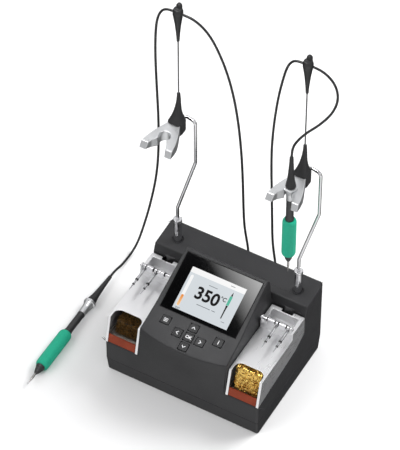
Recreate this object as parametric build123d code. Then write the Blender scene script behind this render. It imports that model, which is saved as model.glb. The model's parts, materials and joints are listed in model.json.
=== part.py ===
from build123d import *
import math
import os

# Two-tool soldering station. Millimetres, +Z up, the front faces -Y.
# The origin is the centre of the plane that the four feet stand on.

# ---- driving dimensions -------------------------------------------------
HALF_W = 98.8            # half width of the housing at the seam
FRONT_Y = -77.2          # front face at the seam
REAR_Y = 78.0            # rear panel
SEAM_Z = 22.0            # joint between tray and shell
SEAM_GAP = 0.5
TRAY_Z = 1.2             # underside of the tray
DECK_Z = 110.4           # rear edge of the top deck
WALL = 2.5
REAR_CORNER_R = 8.0
FRONT_CORNER_R = 3.0

CONSOLE_HALF_W = 56.4    # console, where it meets the stands
CONSOLE_TOP_HALF_W = 52.2
KEY_SLOPE = 17.2         # degrees, panel that holds the keys
GLASS_SLOPE = 24.6       # degrees, panel that holds the display
KEY_Y, KEY_Z = -59.1, 96.9
GLASS_Y, GLASS_Z = -7.2, 117.5
GLASS_W, GLASS_L, GLASS_T = 97.0, 70.4, 2.0
GLASS_PROUD = 0.3
LCD_W, LCD_L, LCD_T = 80.0, 60.0, 4.4

KEY_W, KEY_L = 11.0, 10.0
KEY_PROUD = 0.6
KEY_GAP = 0.3
KEY_PITCH_X, KEY_PITCH_U = 14.5, 12.3
KEY_TRAVEL = 0.8

STAND_X = 77.8           # middle of each stand, and of each arm's post
STAND_IN, STAND_OUT = 57.0, 98.8
SHEET = 1.2
STAND_FRONT_Y, STAND_BEND_Y, STAND_STEP_Y, STAND_REAR_Y = -77.0, -68.7, 2.2, 30.6
STAND_FOOT_Z, SHEET_TOP_Z, FRAME_TOP_Z = 50.4, 86.4, 95.8
STRIP_W = 3.1            # sheet left on each side of the arch
ARCH_BACK_Y = -54.0
ARCH_R = 8.0
FRAME_BAR = 4.2
TUB_FLOOR_Z = 81.0
CUP_TOP_Z = 63.0
SLOT_HALF_W = 7.1
SEAT_GAP = 0.3           # stand above the pocket that it sits in

AXLE_Y, AXLE_Z, AXLE_R = 3.5, 102.6, 1.0
EYELET_R, FIT_GAP = 3.2, 0.05
SPARE_Z, SPARE_R = 98.6, 1.6
SPARE_X = (0.4, 14.6)    # spare tips, outwards from the middle of the stand

POST_Y = 52.3
POST_R, POST_TOP_Z, POST_BASE_Z = 4.9, 143.6, 100.0
ROD_R, ROD_BEND_R, ROD_FOOT_Z = 1.9, 5.0, 112.0
ROD_TOP_Z = 300.2
FORK_TOP_Z, FORK_T, FORK_TIP_T = 305.5, 15.0, 7.6
NEST_Y, NEST_R = -26.3, 6.8      # keyhole, from the post's axis
WIRE_DY, WIRE_R = 4.2, 0.8
WIRE_FOOT_Z = 345.0
CLIP_FOOT_Z, CLIP_RIM_Z, CLIP_TOP_Z = 424.0, 472.5, 477.5
CORD_HOLE_Z = 466.0
CLIP_R, LUG_R, LUG_DY = 5.8, 3.3, 3.0

BOOT_L, SLEEVE_L, NECK_L, GRIP_L, NOSE_L, TIP_L = 46.0, 20.0, 33.0, 57.0, 12.0, 18.0
RIM_R, RIM_T, BARREL_R, GRIP_R, TIP_R = 7.4, 3.0, 4.3, 7.9, 1.3
CORD_R = 1.4
BENCH_X, BENCH_RIM_Y = -162.0, -6.5
SOCKET_X, SOCKET_Z, SOCKET_R = 18.0, 46.0, 7.5
PLUG_FACE_Y = REAR_Y + 1.8
PLUG_END_Y = PLUG_FACE_Y + 17.4

FOOT_XY = (74.0, 61.0)
SCREW_XY = (88.0, 66.0)
BOSS_SPLIT_Z = 30.0      # end of the tray's screw bosses, start of the shell's
BOARD_Z = 12.0
BOARD_POSTS = ((72.0, -48.0), (72.0, -1.0), (-72.0, -48.0), (-72.0, -1.0))
PUSHER_R, PUSHER_Y, PUSHER_TOP_Z = 6.2, 34.4, 98.4
DECK_AT_POST_Z = 108.7
HANG_GAP = 0.15          # under the rim of the hanging tool

PANEL_HALF_W, PANEL_LOW_Z, PANEL_HIGH_Z = 80.0, 27.0, 100.0
PANEL_GAP, PANEL_FLANGE = 0.2, 2.0
PANEL_Z = 48.0           # middle of what is fitted to the rear panel
INLET_X, INLET_W, INLET_H, INLET_DEPTH = 62.0, 24.5, 17.0, 15.0
SWITCH_X, SWITCH_W, SWITCH_H = -44.0, 18.0, 12.2
ROCKER_Y, ROCKER_R = REAR_Y - 2.0, 7.0
EARTH_X, EARTH_R, EARTH_L = -72.0, 2.0, 14.0

WIRE_Y = POST_Y + WIRE_DY
CLIP_FACE = CLIP_R + 0.1
BOOT_END_Y = BENCH_RIM_Y + BOOT_L
BOOT_TOP_Z = FORK_TOP_Z + HANG_GAP + RIM_T + BOOT_L

SIDES = {"left": -1, "right": 1}
KEYS = {                 # across, and up the key panel
    "menu": (-33.7, 8.3), "info": (33.7, 8.3), "up": (0, KEY_PITCH_U), "down": (0, -KEY_PITCH_U),
    "left": (-KEY_PITCH_X, 0), "ok": (0, 0), "right": (KEY_PITCH_X, 0)}
CORD_ROUTES = {
    "cord_rear_left": [
        (-SOCKET_X, PLUG_END_Y, SOCKET_Z), (-SOCKET_X, 105.5, SOCKET_Z), (-18.2, 112, 51.5), (-18.8, 113, 63),
        (-19.8, 110.5, 82), (-20, 104.5, 112), (-17.5, 97, 152), (-14.5, 89, 208), (-12, 80, 264),
        (-12.5, 72.5, 320), (-16.5, 67.5, 366), (-24, 63.8, 404), (-34, 60.8, 434), (-42, 59.4, 449),
        (-50.5, 58, 459), (-60, 56.8, 465), (-66.5, WIRE_Y, CORD_HOLE_Z),
        (-STAND_X + CLIP_FACE, WIRE_Y, CORD_HOLE_Z)],
    "cord_rear_right": [
        (SOCKET_X, PLUG_END_Y, SOCKET_Z), (SOCKET_X, 105.5, SOCKET_Z), (17.6, 112, 51.5), (16.6, 113, 63),
        (15.5, 110.5, 82), (16.5, 104.5, 112), (19.5, 97, 152), (22, 89.5, 208), (24.5, 82, 260),
        (28, 75.5, 305),
        (33.5, 70, 352), (40, 65.5, 395), (47, 61.8, 428), (51.8, 59.6, 447), (57.4, 57.8, 459.3),
        (64.5, WIRE_Y, CORD_HOLE_Z), (STAND_X - CLIP_FACE, WIRE_Y, CORD_HOLE_Z)],
    "cord_tool_left": [
        (-STAND_X - CLIP_FACE, WIRE_Y, CORD_HOLE_Z), (-91, WIRE_Y, CORD_HOLE_Z), (-98.6, 57.3, 459),
        (-104.5, 58.6, 444), (-107.8, 60, 420), (-110, 62.5, 380), (-111, 66.5, 326), (-113, 72.5, 272),
        (-117.5, 79.5, 214), (-126, 88.5, 158), (-138, 97, 104), (-148.5, 103, 62), (-155.5, 104, 33),
        (-159, 100, 14.5), (-161, 90.5, 4.2), (-161.8, 78, 1.8), (-162, 64, 2.4), (BENCH_X, 50.5, GRIP_R),
        (BENCH_X, BOOT_END_Y, GRIP_R)],
    "cord_tool_right": [
        (STAND_X + CLIP_FACE, WIRE_Y, CORD_HOLE_Z), (91.4, WIRE_Y, CORD_HOLE_Z), (103, 56.2, 461.5),
        (112.8, 54.8, 451.5), (117, 51.5, 437), (113.5, 46, 421), (103.5, 37.5, 406.5), (91.5, 30, 394.5),
        (82.2, 26.6, 379.5), (STAND_X, POST_Y + NEST_Y, 366), (STAND_X, POST_Y + NEST_Y, BOOT_TOP_Z)]}


# ---- small helpers --------------------------------------------------------
def side_prism(outline, x_low, x_high):
    """Closed outline of (y, z) points, extruded along X."""
    face = make_face(Polyline(*[(x_low, y, z) for y, z in outline], close=True))
    return extrude(face, amount=x_high - x_low, dir=(1, 0, 0))


def span(x0, x1, y0, y1, z0, z1):
    """Box given by its lowest and highest corners."""
    return Pos((x0 + x1) / 2, (y0 + y1) / 2, (z0 + z1) / 2) * Box(x1 - x0, y1 - y0, z1 - z0)


def turned(outline):
    """Solid of revolution about Z from (radius, z) points, lowest first."""
    points = [(0, 0, outline[0][1])] + [(r, 0, z) for r, z in outline] + [(0, 0, outline[-1][1])]
    return revolve(make_face(Polyline(*points, close=True)), axis=Axis.Z)


def key_panel(x, u, depth):
    """Place on the key panel: x across, u up the slope, depth along its normal."""
    return Location((0, KEY_Y, KEY_Z), (KEY_SLOPE, 0, 0)) * Pos(x, u, depth)


def glass_panel(x, u, depth):
    return Location((0, GLASS_Y, GLASS_Z), (GLASS_SLOPE, 0, 0)) * Pos(x, u, depth)


def save(name, *solids):
    shape = solids[0] if len(solids) == 1 else Compound(children=list(solids))
    export_step(shape, f"parts/{name}.step")


# ---- housing ----------------------------------------------------------------
def housing_side(inset):
    """Side outline of the housing without its console: front, stand pocket, deck, rear."""
    low_z = SEAM_Z + SEAM_GAP
    pocket_z = STAND_FOOT_Z - SEAT_GAP - inset
    outline = [
        (FRONT_Y + inset, low_z), (FRONT_Y + inset, pocket_z), (10.7, 59.4 - inset),
        (31.8 + inset, 68.6 - inset),
        (32.2 + inset, 96.4 - 0.3 * inset), (36.6 + 0.8 * inset, 107.6 - inset)]
    if inset:
        return outline + [(REAR_Y - inset, DECK_Z - inset), (REAR_Y - inset, low_z)]
    return outline + [(REAR_Y - 3.0, DECK_Z), (REAR_Y, DECK_Z - 3.0), (REAR_Y, low_z)]


def console_top(y):
    """Height of the console's two top panels at y."""
    key = KEY_Z + math.tan(math.radians(KEY_SLOPE)) * (y - KEY_Y)
    glass = GLASS_Z + math.tan(math.radians(GLASS_SLOPE)) * (y - GLASS_Y)
    return max(key, glass)


def console(inset):
    """Console block: its front leans from a straight foot to a bowed top, its sides lean in."""
    foot_z = STAND_FOOT_Z - SEAT_GAP - inset
    knee_y, crest_y, back_y = -40.4, 29.0, 33.5 - inset
    half = CONSOLE_HALF_W - inset
    body = side_prism([
        (-90, foot_z), (-90, console_top(-90) - inset), (knee_y, console_top(knee_y) - inset),
        (crest_y, console_top(crest_y) - inset), (back_y, 127.5 - inset), (back_y, foot_z)], -half, half)
    top_z, bow_end_y, bow_y = 136.0, -65.7 + inset, -80.6 + inset
    foot = Polyline((-half, 40, foot_z), (-half, FRONT_Y + inset, foot_z), (half, FRONT_Y + inset, foot_z),
                    (half, 40, foot_z), close=True)
    bow = ThreePointArc((-half, bow_end_y, top_z), (0, bow_y, top_z), (half, bow_end_y, top_z))
    rest = Polyline((half, bow_end_y, top_z), (half, 40, top_z), (-half, 40, top_z),
                    (-half, bow_end_y, top_z))
    body = body & loft([make_face(foot), make_face(bow + rest)], ruled=True)
    lean = (CONSOLE_HALF_W - CONSOLE_TOP_HALF_W) / (top_z - SHEET_TOP_Z)
    rise = top_z + 5 - SHEET_TOP_Z
    for sign in (-1, 1):
        edge = sign * half
        outside = Polyline((edge, -95, SHEET_TOP_Z), (edge + 20 * sign, -95, SHEET_TOP_Z),
                           (edge + 20 * sign, -95, top_z + 5),
                           (edge - sign * lean * rise, -95, top_z + 5), close=True)
        body -= extrude(make_face(outside), amount=140, dir=(0, 1, 0))
    return body


def housing_block(inset):
    block = side_prism(housing_side(inset), -HALF_W + inset, HALF_W - inset)
    uprights = block.edges().filter_by(Axis.Z).sort_by(Axis.Y)
    block = fillet(uprights[-2:], REAR_CORNER_R - inset)
    uprights = block.edges().filter_by(Axis.Z).sort_by(Axis.Y)
    return fillet(uprights[:2], FRONT_CORNER_R - 0.8 * inset)


def rounded_block(inset, z_low, z_high, foot_inset=0.0):
    """Block with the housing's plan, its foot drawn in by foot_inset at the front and less at the sides."""
    def plan(more, z):
        x = HALF_W - inset - 0.3 * more
        return make_face(Polyline((-x, FRONT_Y + inset + more, z), (x, FRONT_Y + inset + more, z),
                                  (x, REAR_Y - inset - more, z), (-x, REAR_Y - inset - more, z), close=True))
    if foot_inset:
        block = loft([plan(foot_inset, z_low), plan(0, z_high)], ruled=True)
    else:
        block = extrude(plan(0, z_low), amount=z_high - z_low, dir=(0, 0, 1))
    corners = [e for e in block.edges() if e.length > 0.9 * (z_high - z_low) and abs((e % 0.5).Z) > 0.8]
    rear = [e for e in corners if (e @ 0.5).Y > 0]
    block = fillet(rear, REAR_CORNER_R - inset)
    corners = [e for e in block.edges() if abs((e % 0.5).Z) > 0.8 and (e @ 0.5).Y < 0]
    return fillet(corners, max(FRONT_CORNER_R - 0.8 * inset, 0.6))


def screw_places(z):
    return [Pos(sx * SCREW_XY[0], sy * SCREW_XY[1], z) for sx in (-1, 1) for sy in (-1, 1)]


def upper_shell():
    outer = housing_block(0) + console(0)
    inner = housing_block(WALL) + console(WALL)
    shell = outer - inner
    front_boss_z, rear_boss_z = STAND_FOOT_Z - 0.8, DECK_Z - WALL
    for place in screw_places(0):
        top = rear_boss_z if place.position.Y > 0 else front_boss_z
        shell += place * Pos(0, 0, (BOSS_SPLIT_Z + 0.2 + top) / 2) * Cylinder(4.0, top - BOSS_SPLIT_Z - 0.2)
        shell -= place * Pos(0, 0, BOSS_SPLIT_Z + 6) * Cylinder(1.5, 14)
    for sign in (-1, 1):
        pusher = Cylinder(PUSHER_R, PUSHER_TOP_Z - 68)
        pusher = Pos(sign * STAND_X, PUSHER_Y, (68 + PUSHER_TOP_Z) / 2) * pusher
        shell += pusher & span(-HALF_W, HALF_W, 20, 35, 60, 100)
        shell -= Pos(sign * STAND_X, POST_Y, DECK_Z - 5) * Cylinder(POST_R + 0.1, 20)
        shell -= Pos(sign * STAND_X, POST_Y, DECK_AT_POST_Z + 3.8) * Cylinder(6.8, 10)
    shell -= glass_panel(0, 0, 1.3) * Box(GLASS_W + 0.6, GLASS_L + 0.6, 6.2)
    shell -= glass_panel(0, 0, -4) * Box(LCD_W + 1, LCD_L + 1, 14)
    for x, u in KEYS.values():
        shell -= key_panel(x, u, 0) * Box(KEY_W + 2 * KEY_GAP, KEY_L + 2 * KEY_GAP, 12)
    half, low, high = PANEL_HALF_W + PANEL_GAP, PANEL_LOW_Z - PANEL_GAP, PANEL_HIGH_Z + PANEL_GAP
    return shell - span(-half, half, REAR_Y - 6, REAR_Y + 1, low, high)


def rear_panel():
    """Plate that fills the opening in the shell's rear wall, with a flange behind the opening's edge."""
    panel = span(-PANEL_HALF_W, PANEL_HALF_W, REAR_Y - WALL, REAR_Y, PANEL_LOW_Z, PANEL_HIGH_Z)
    wide = PANEL_HALF_W + PANEL_FLANGE
    panel += span(-wide, wide, REAR_Y - WALL - 1.2, REAR_Y - WALL, PANEL_LOW_Z, PANEL_HIGH_Z + PANEL_FLANGE)
    for sign in (-1, 1):
        panel -= Pos(sign * SOCKET_X, REAR_Y - 3, SOCKET_Z) * Rot(90, 0, 0) * Cylinder(SOCKET_R + 0.2, 12)
    panel -= span(INLET_X - 13.7, INLET_X + 13.7, REAR_Y - 5, REAR_Y + 1, PANEL_Z - 10.2, PANEL_Z + 10.2)
    panel -= span(SWITCH_X - 10.2, SWITCH_X + 10.2, REAR_Y - 5, REAR_Y + 1, PANEL_Z - 7.4, PANEL_Z + 7.4)
    panel -= Pos(EARTH_X, REAR_Y, PANEL_Z) * Box(10.4, 10, 10.4)
    for i in range(12):
        panel -= Pos(-49.5 + 9 * i, REAR_Y, 84) * Box(2.4, 12, 16)
    return panel


def lower_tray():
    tray = rounded_block(0, TRAY_Z, SEAM_Z, foot_inset=2.6)
    tray += rounded_block(WALL + 0.2, SEAM_Z - 4, SEAM_Z + 3.5)
    tray -= rounded_block(WALL + 1.7, TRAY_Z + WALL, SEAM_Z + 8)
    for place in screw_places(0):
        tray += place * Pos(0, 0, (TRAY_Z + 1 + BOSS_SPLIT_Z) / 2) * Cylinder(4.6, BOSS_SPLIT_Z - TRAY_Z - 1)
        tray -= place * Pos(0, 0, 15) * Cylinder(1.7, 40)
        tray -= place * Pos(0, 0, 3) * Cylinder(3.3, 6)
    for sx in (-1, 1):
        for sy in (-1, 1):
            tray -= Pos(sx * FOOT_XY[0], sy * FOOT_XY[1], 1.0) * Cylinder(7.2, 3.0)
    for x, y in BOARD_POSTS:
        tray += Pos(x, y, (TRAY_Z + 1 + BOARD_Z) / 2) * Cylinder(3, BOARD_Z - TRAY_Z - 1)
    return tray


def rubber_feet():
    foot = fillet(Cylinder(7.0, 2.5).edges().group_by(Axis.Z)[0], 0.6)
    return [Pos(sx * FOOT_XY[0], sy * FOOT_XY[1], 1.25) * foot for sx in (-1, 1) for sy in (-1, 1)]


def case_screws():
    screw = Pos(0, 0, 5.0) * Cylinder(3.0, 1.8) + Pos(0, 0, 22.5) * Cylinder(1.45, 34)
    screw -= Pos(0, 0, 4.4) * Box(0.9, 4.2, 1.2) + Pos(0, 0, 4.4) * Box(4.2, 0.9, 1.2)
    return [place * screw for place in screw_places(0)]


# ---- display, keys and what is inside ---------------------------------------------
def display_glass():
    glass = glass_panel(0, 0, GLASS_PROUD - GLASS_T / 2) * Box(GLASS_W, GLASS_L, GLASS_T)
    return chamfer(glass.edges().sort_by(Axis.Z)[-1:], 0.3)


def lcd_module():
    top = GLASS_PROUD - GLASS_T - 0.1
    body = glass_panel(0, 0, top - LCD_T / 2) * Box(LCD_W, LCD_L, LCD_T)
    return body + glass_panel(0, 0, top - LCD_T - 1.5) * Box(LCD_W - 30, LCD_L - 20, 3)


def key(x, u):
    """Key cap with a rim that stops it from coming out, and the stem that works its switch."""
    cap = fillet(Box(KEY_W, KEY_L, KEY_PROUD + 2.6).edges().filter_by(Axis.Z), 1.4)
    cap = chamfer(cap.faces().sort_by(Axis.Z)[-1].edges(), 0.25)
    cap = Pos(0, 0, (KEY_PROUD - 2.6) / 2) * cap
    cap += Pos(0, 0, -3.2) * Box(KEY_W + 1.6, KEY_L + 1.6, 1.2) + Pos(0, 0, -4.9) * Cylinder(1.5, 2.4)
    return key_panel(x, u, 0) * cap


def front_board():
    board = key_panel(0, -1, -7.8) * Box(84, 27, 1.6)
    for x, u in KEYS.values():
        board += key_panel(x, u, -8.9) * Box(6, 6, 0.8)
    return board


def main_board():
    board = span(-80, 80, -68, 6, BOARD_Z, BOARD_Z + 1.6)
    top = BOARD_Z + 1.5
    for x in (-60, -44, -28):
        board += Pos(x, -50, top + 10) * Cylinder(6, 20)
    board += span(8, 52, -56, -52, top, top + 26)
    for i in range(7):
        board += span(9 + 6.8 * i, 10.6 + 6.8 * i, -52.5, -40, top, top + 26)
    for x in (-50, 0, 50):
        board += span(x - 9, x + 9, -8, 0, top, top + 9)
    return board + span(-12, 12, -40, -16, top, top + 3)


def transformer():
    core = span(-38, 38, 20, 48, TRAY_Z + WALL, 64)
    winding = fillet(span(-25, 25, 9, 59, 14, 54).edges().filter_by(Axis.X), 5)
    return core + winding + span(-48, 48, 27, 41, TRAY_Z + WALL, 6)


def mains_inlet():
    y0, y1 = REAR_Y, REAR_Y + 2.4
    body = span(INLET_X - 13.5, INLET_X + 13.5, REAR_Y - 20, y0, PANEL_Z - 10, PANEL_Z + 10)
    flange = Pos(INLET_X, (y0 + y1) / 2, PANEL_Z) * Box(32, y1 - y0, 25)
    body += fillet(flange.edges().filter_by(Axis.Y), 3)
    floor_y = y1 - INLET_DEPTH
    body -= span(INLET_X - INLET_W / 2, INLET_X + INLET_W / 2, floor_y, y1 + 1,
                 PANEL_Z - INLET_H / 2, PANEL_Z + INLET_H / 2)
    for x, z in ((-7, -3.6), (7, -3.6), (0, 0.6)):
        body += span(INLET_X + x - 1, INLET_X + x + 1, floor_y - 0.5, y1 - 3,
                     PANEL_Z + z - 2, PANEL_Z + z + 2)
    return body


def switch_frame():
    body = span(SWITCH_X - 10, SWITCH_X + 10, REAR_Y - 16, REAR_Y, PANEL_Z - 7.2, PANEL_Z + 7.2)
    flange = Pos(SWITCH_X, REAR_Y + 1, PANEL_Z) * Box(23, 2, 17)
    body += fillet(flange.edges().filter_by(Axis.Y), 2)
    return body - span(SWITCH_X - SWITCH_W / 2, SWITCH_X + SWITCH_W / 2, REAR_Y - 12, REAR_Y + 3,
                       PANEL_Z - SWITCH_H / 2, PANEL_Z + SWITCH_H / 2)


def power_rocker():
    half = SWITCH_W / 2 - 0.4
    wedge = side_prism([
        (ROCKER_Y - 3, PANEL_Z - 4.6), (REAR_Y + 1.6, PANEL_Z - 4.6), (REAR_Y + 2.0, PANEL_Z),
        (REAR_Y + 4.6, PANEL_Z + 4.4), (ROCKER_Y - 3, PANEL_Z + 4.6)], SWITCH_X - half, SWITCH_X + half)
    return wedge & Pos(SWITCH_X, ROCKER_Y, PANEL_Z) * Rot(0, 90, 0) * Cylinder(ROCKER_R, 30)


def earth_jack():
    out = Rot(-90, 0, 0)
    jack = Pos(EARTH_X, REAR_Y - 5, PANEL_Z) * out * Cylinder(5.0, 14)
    jack += Pos(EARTH_X, REAR_Y + 1, PANEL_Z) * out * Cylinder(7.6, 2)
    return jack - Pos(EARTH_X, REAR_Y + 2 - EARTH_L / 2, PANEL_Z) * out * Cylinder(EARTH_R, EARTH_L)


def tool_socket(x):
    socket = Pos(x, REAR_Y - 7, SOCKET_Z) * Rot(90, 0, 0) * Cylinder(SOCKET_R, 14)
    return socket + Pos(x, REAR_Y + 0.9, SOCKET_Z) * Rot(90, 0, 0) * Cylinder(9.2, 1.8)


def cord_plug(x):
    outline = [(6.6, 0), (6.6, 7.5), (5.8, 8.6), (3.1, 9.2), (2.1, PLUG_END_Y - PLUG_FACE_Y)]
    return Pos(x, PLUG_FACE_Y, SOCKET_Z) * Rot(-90, 0, 0) * turned(outline)


# ---- tool stands, drawn for the right-hand side -----------------------------------
def stand_cover():
    inner, outer = STAND_IN, STAND_OUT
    wall = [(STAND_FRONT_Y, STAND_FOOT_Z), (STAND_BEND_Y, SHEET_TOP_Z), (STAND_STEP_Y, SHEET_TOP_Z),
            (STAND_STEP_Y, FRAME_TOP_Z), (STAND_REAR_Y, FRAME_TOP_Z), (STAND_REAR_Y, 68.4), (10.7, 59.7)]
    cover = side_prism(wall, inner, inner + SHEET) + side_prism(wall, outer - SHEET, outer)
    strip = [(STAND_FRONT_Y, STAND_FOOT_Z), (STAND_BEND_Y, SHEET_TOP_Z), (STAND_BEND_Y + SHEET, SHEET_TOP_Z),
             (STAND_FRONT_Y + SHEET, STAND_FOOT_Z)]
    cover += side_prism(strip, inner, inner + STRIP_W) + side_prism(strip, outer - STRIP_W, outer)
    sheet = span(inner, outer, STAND_BEND_Y, STAND_STEP_Y + SHEET, SHEET_TOP_Z - SHEET, SHEET_TOP_Z)
    arch_w = outer - inner - 2 * STRIP_W
    arch = Pos((inner + outer) / 2, ARCH_BACK_Y - 20, SHEET_TOP_Z) * Box(arch_w, 40, 8)
    cover += sheet - fillet(arch.edges().filter_by(Axis.Z).group_by(Axis.Y)[-1], ARCH_R)
    cover += span(inner, outer, STAND_STEP_Y, STAND_STEP_Y + SHEET, TUB_FLOOR_Z, FRAME_TOP_Z)
    tub_rear = STAND_REAR_Y - FRAME_BAR - SHEET
    cover += span(inner, outer, STAND_STEP_Y, tub_rear + SHEET, TUB_FLOOR_Z, TUB_FLOOR_Z + SHEET)
    cover += span(inner, outer, tub_rear, tub_rear + SHEET, TUB_FLOOR_Z, FRAME_TOP_Z)
    frame = span(inner, outer, STAND_STEP_Y, STAND_REAR_Y, FRAME_TOP_Z - SHEET, FRAME_TOP_Z)
    frame -= span(inner + FRAME_BAR, outer - FRAME_BAR, STAND_STEP_Y + 5.2, tub_rear, 90, 100)
    frame -= span(STAND_X - SLOT_HALF_W, STAND_X + SLOT_HALF_W, tub_rear + SHEET, STAND_REAR_Y + 1, 90, 100)
    cover += frame
    for x in (inner + 1.9, outer - 3.3):
        ear = span(x, x + 1.4, AXLE_Y - EYELET_R, AXLE_Y + EYELET_R, FRAME_TOP_Z - SHEET, AXLE_Z)
        ear += Pos(x + 0.7, AXLE_Y, AXLE_Z) * Rot(0, 90, 0) * Cylinder(EYELET_R, 1.4)
        cover += ear - Pos(x + 0.7, AXLE_Y, AXLE_Z) * Rot(0, 90, 0) * Cylinder(AXLE_R + FIT_GAP, 4)
    return cover


def stand_lip():
    front = [(-76.5, 51.2), (-74.2, 61.2), (-73.4, 61.8), (-72.2, 61.2), (-74.4, 51.2)]
    return side_prism(front, STAND_IN + STRIP_W + 0.2, STAND_OUT - STRIP_W - 0.2)


def stand_cup():
    """Open-topped tray that slides into the stand and holds the cleaning wool."""
    low, high = STAND_IN + 2.4, STAND_OUT - 2.4
    side = [(-71.6, 56.6), (-70.2, CUP_TOP_Z), (-24, CUP_TOP_Z), (-24, 56.6)]
    cup = side_prism(side, low, low + 1) + side_prism(side, high - 1, high)
    return cup + span(low, high, -71.4, -24, 56.6, 57.6) + span(low, high, -25, -24, 56.6, CUP_TOP_Z)


def cleaning_block():
    outline = [(-70.4, 57.8), (-65.2, 82.6), (-25.2, 82.6), (-25.2, 57.8)]
    return fillet(side_prism(outline, STAND_IN + 3.6, STAND_OUT - 3.6).edges().filter_by(Axis.X), 1.5)


def spare_rack():
    along = Rot(0, 90, 0)
    rack = Pos(STAND_X + 0.1, AXLE_Y, AXLE_Z) * along * Cylinder(AXLE_R, 39.4)
    for x in (STAND_IN + 0.9, STAND_OUT - 0.9):
        rack += Pos(x, AXLE_Y, AXLE_Z) * along * Cylinder(1.7, 0.9)
    for x, length in ((67.6, 13.6), (84.6, 9.4)):
        rack += Pos(x, AXLE_Y, AXLE_Z) * along * Cylinder(1.9, length)
    for dx in SPARE_X:
        hanger = Pos(STAND_X + dx, AXLE_Y, AXLE_Z) * along * Cylinder(2.4, 2.6)
        hanger += Pos(STAND_X + dx, AXLE_Y, SPARE_Z) * Rot(90, 0, 0) * Cylinder(2.3, 3.0)
        hanger += Pos(STAND_X + dx, AXLE_Y, (AXLE_Z + SPARE_Z) / 2) * Box(2.2, 2.6, 3.0)
        rack += hanger
    for dx in SPARE_X:
        rack -= Pos(STAND_X + dx, AXLE_Y, SPARE_Z) * Rot(90, 0, 0) * Cylinder(SPARE_R, 12)
    return rack


def spare_tips():
    """Two spare heating tips, lying forwards over the sheet."""
    outline = [(SPARE_R, -1.5), (SPARE_R, 18.0), (2.0, 18.0), (2.0, 19.5), (1.1, 19.5), (1.1, 26.2),
               (1.5, 26.2), (1.5, 27.2), (0.9, 27.2), (0.2, 36.5)]
    tip = turned(outline)
    return [Pos(STAND_X + dx, AXLE_Y, SPARE_Z) * Rot(90, 0, 0) * tip for dx in SPARE_X]


# ---- arms, drawn about the post's axis ----------------------------------------------
def post():
    body = Pos(0, 0, (POST_BASE_Z + POST_TOP_Z) / 2) * Cylinder(POST_R, POST_TOP_Z - POST_BASE_Z)
    collar = Pos(0, 0, POST_TOP_Z - 1.6) * Cylinder(POST_R + 0.25, 3.2)
    body += fillet(collar.edges().group_by(Axis.Z)[-1], 0.5)
    body += Pos(0, 0, 103.0) * Cylinder(8.0, 3.8)
    return body - Pos(0, 0, (ROD_FOOT_Z + 150) / 2) * Cylinder(ROD_R + FIT_GAP, 150 - ROD_FOOT_Z)


def arm_rod():
    route = [(0, 0, ROD_FOOT_Z + 0.3), (0, 0, 162.7), (16.3, 12.5, 234.6), (16.3, 12.5, ROD_TOP_Z),
             (0, 15.7, ROD_TOP_Z), (0, 2.0, ROD_TOP_Z)]
    path = FilletPolyline(*route, radius=ROD_BEND_R)
    return sweep(Plane(origin=route[0], z_dir=(0, 0, 1)) * Circle(ROD_R), path=path)


def holder_fork():
    """Cast fork: deep at the back, two prongs that thin to the front, a keyhole for the tool's rim."""
    low, high = FORK_TOP_Z - FORK_T, FORK_TOP_Z
    tip_z = high - FORK_TIP_T
    edge = [(6.2, 1.0), (8.2, -8.0), (11.9, -17.0), (15.4, -26.5), (18.2, -38.0), (19.6, -48.5)]
    inside = [(12.0, -49.0), (9.4, -39.5), (5.6, -33.0), (4.9, -30.9)]
    right = Spline(*edge)
    left = Spline(*[(-x, y) for x, y in reversed(edge)])
    inside_left = [(-x, y) for x, y in reversed(inside)]
    mouth = Polyline(edge[-1], *inside, (0, -28.0), *inside_left, (-edge[-1][0], edge[-1][1]))
    outline = make_face(right + mouth + left + Line((-edge[0][0], edge[0][1]), edge[0]))
    body = extrude(Pos(0, 0, low) * outline, amount=FORK_T, dir=(0, 0, 1))
    body -= Pos(0, NEST_Y, (low + high) / 2) * Cylinder(NEST_R, 40)
    side = [(2, low), (-27, low), (-48.5, tip_z), (-43.8, high), (2, high)]
    return (body & side_prism(side, -30, 30)) - rod_bore()


def rod_bore():
    return Pos(0, 6.0, ROD_TOP_Z) * Rot(90, 0, 0) * Cylinder(ROD_R + FIT_GAP, 8.2)


def fork_boot():
    """Moulded cap: its foot wraps the back of the fork, its neck narrows up to the guide wire."""
    foot_low, foot_high = FORK_TOP_Z - FORK_T - 0.5, FORK_TOP_Z + 0.7
    foot = Pos(0, 0, foot_low) * extrude(RectangleRounded(17.4, 17.0, 5.0), amount=foot_high - foot_low)
    sections = [(foot_high, 17.4, 17.0, 5.0, 0), (foot_high + 8, 11.4, 12.2, 4.8, 1.2),
                (foot_high + 19, 7.0, 7.0, 3.3, 3.2), (WIRE_FOOT_Z, 3.8, 3.8, 1.8, WIRE_DY)]
    neck = loft([Pos(0, y, z) * RectangleRounded(w, l, r) for z, w, l, r, y in sections])
    return foot + neck - holder_fork() - rod_bore()


def guide_wire():
    return Pos(0, WIRE_DY, (WIRE_FOOT_Z + CLIP_FOOT_Z) / 2) * Cylinder(WIRE_R, CLIP_FOOT_Z - WIRE_FOOT_Z)


def cord_clip():
    """Cone that widens up from the wire to a round head, with a rounded lug behind it."""
    cone = turned([(1.6, CLIP_FOOT_Z), (2.3, CLIP_FOOT_Z + 12), (3.6, CLIP_FOOT_Z + 26),
                   (5.3, CLIP_FOOT_Z + 38), (CLIP_R, CORD_HOLE_Z - 2), (CLIP_R, CORD_HOLE_Z + 3),
                   (4.4, CLIP_RIM_Z)])
    lug = turned([(0.8, CORD_HOLE_Z - 14), (LUG_R, CORD_HOLE_Z - 3), (LUG_R, CLIP_TOP_Z - 2.4),
                  (1.8, CLIP_TOP_Z)])
    return Pos(0, WIRE_DY, 0) * (cone + Pos(0, LUG_DY, 0) * lug)


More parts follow.
